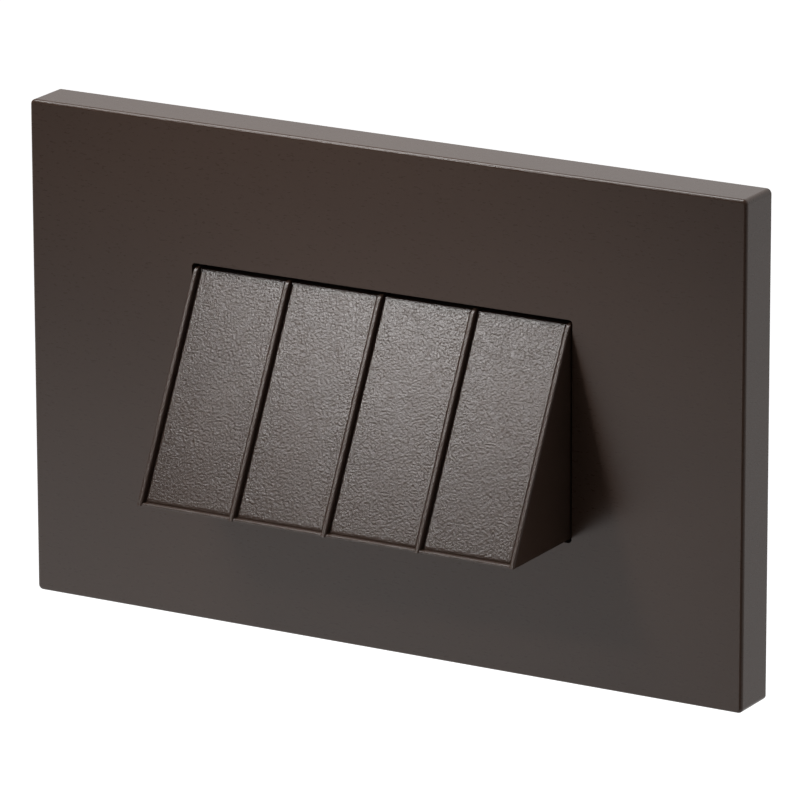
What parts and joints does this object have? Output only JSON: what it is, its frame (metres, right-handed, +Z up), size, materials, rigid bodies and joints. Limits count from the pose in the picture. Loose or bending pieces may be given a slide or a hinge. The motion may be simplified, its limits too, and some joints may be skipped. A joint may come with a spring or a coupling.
{
  "type": "hooded step light",
  "caption": "Hooded LED step light for a wall box: a clip-on cover plate round a ribbed wedge hood that throws light down, with its driver, terminals and screws behind.",
  "frame": {"origin": "the wall's surface at the middle of the wall box, halfway between the two box screws", "axes": "+X right along the wall, +Y into the wall, +Z up; the light's front faces -Y"},
  "size_m": [0.124, 0.0606, 0.079],
  "materials": {
    "bronze_plate": "satin dark bronze coat with a very fine horizontal grain",
    "bronze_hood": "hammered dark bronze powder coat",
    "zinc_steel": "bright zinc plate",
    "spring_steel": "bare spring steel",
    "screw_steel": "zinc plated screws",
    "black_screw": "black oxide screws",
    "aluminium": "milled aluminium",
    "foam_rubber": "closed-cell foam",
    "silicone": "soft grey silicone",
    "frosted_lens": "frosted diffuser",
    "white_plastic": "matt white reflector",
    "white_mask": "white solder mask",
    "green_mask": "green solder mask",
    "phosphor": "yellow phosphor in a white body",
    "grey_pad": "soft thermal pad",
    "black_plastic": "moulded black plastic",
    "component_black": "moulded component body",
    "ferrite": "sintered ferrite",
    "yellow_tape": "yellow polyester tape",
    "can_sleeve": "dark blue shrink sleeve",
    "film_yellow": "yellow moulded box",
    "varistor_blue": "blue dipped coat",
    "wire_red": "red insulation",
    "wire_black": "black insulation",
    "wire_green": "green insulation",
    "green_screw": "green passivated screw",
    "copper": "tinned copper alloy",
    "terminal_grey": "moulded grey nylon",
    "lever_orange": "moulded orange levers",
    "fibre_washer": "red fibre"
  },
  "bodies": {
    "fixture": {"bridge_rectifier": "component_black", "bulk_capacitor": "can_sleeve", "choke": "ferrite", "control_chip": "component_black", "driver_board": "green_mask", "driver_board_screws": "screw_steel", "driver_housing": "black_plastic", "film_capacitor": "film_yellow", "fuse": "component_black", "ground_lead": "wire_green", "ground_screw": "green_screw", "heat_spreader": "aluminium", "hood": "bronze_hood", "hood_gasket": "foam_rubber", "hood_screws": "black_screw", "housing_seal": "silicone", "latch_rivets": "zinc_steel", "latch_springs": "spring_steel", "lead_grommet": "foam_rubber", "led_board": "white_mask", "led_board_screws": "screw_steel", "led_chips": "phosphor", "led_header": "white_plastic", "led_lead_black": "wire_black", "led_lead_red": "wire_red", "lens": "frosted_lens", "lens_gasket": "silicone", "mounting_frame": "zinc_steel", "output_capacitor": "can_sleeve", "reflector": "white_plastic", "terminal_block": "terminal_grey", "terminal_contacts": "copper", "terminal_screws": "screw_steel", "thermal_pad": "grey_pad", "transformer_core": "ferrite", "transformer_winding": "yellow_tape", "varistor": "varistor_blue", "wall_gasket": "foam_rubber"},
    "cover": {"cover_plate": "bronze_plate"},
    "lever_1": {"terminal_lever_1": "lever_orange"},
    "lever_2": {"terminal_lever_2": "lever_orange"},
    "lever_3": {"terminal_lever_3": "lever_orange"},
    "left_screw": {"box_screw_left": "screw_steel", "screw_washer_left": "fibre_washer"},
    "right_screw": {"box_screw_right": "screw_steel", "screw_washer_right": "fibre_washer"}
  },
  "joints": [
    {"name": "cover_pull", "type": "slide", "parent": "fixture", "child": "cover", "axis": [0, -1, 0], "range_m": [0, 0.03], "deforming": ["latch_springs"]},
    {"name": "lever_1_open", "type": "hinge", "parent": "fixture", "child": "lever_1", "pos_m": [-0.0058, 0.0331, -0.0033], "axis": [1, 0, 0], "range_deg": [0, 85]},
    {"name": "lever_2_open", "type": "hinge", "parent": "fixture", "child": "lever_2", "pos_m": [0, 0.0331, -0.0033], "axis": [1, 0, 0], "range_deg": [0, 85]},
    {"name": "lever_3_open", "type": "hinge", "parent": "fixture", "child": "lever_3", "pos_m": [0.0058, 0.0331, -0.0033], "axis": [1, 0, 0], "range_deg": [0, 85]},
    {"name": "left_screw_turn", "type": "hinge", "parent": "fixture", "child": "left_screw", "pos_m": [-0.04165, 0, 0], "axis": [0, 1, 0], "continuous": true},
    {"name": "right_screw_turn", "type": "hinge", "parent": "fixture", "child": "right_screw", "pos_m": [0.04165, 0, 0], "axis": [0, 1, 0], "continuous": true}
  ]
}
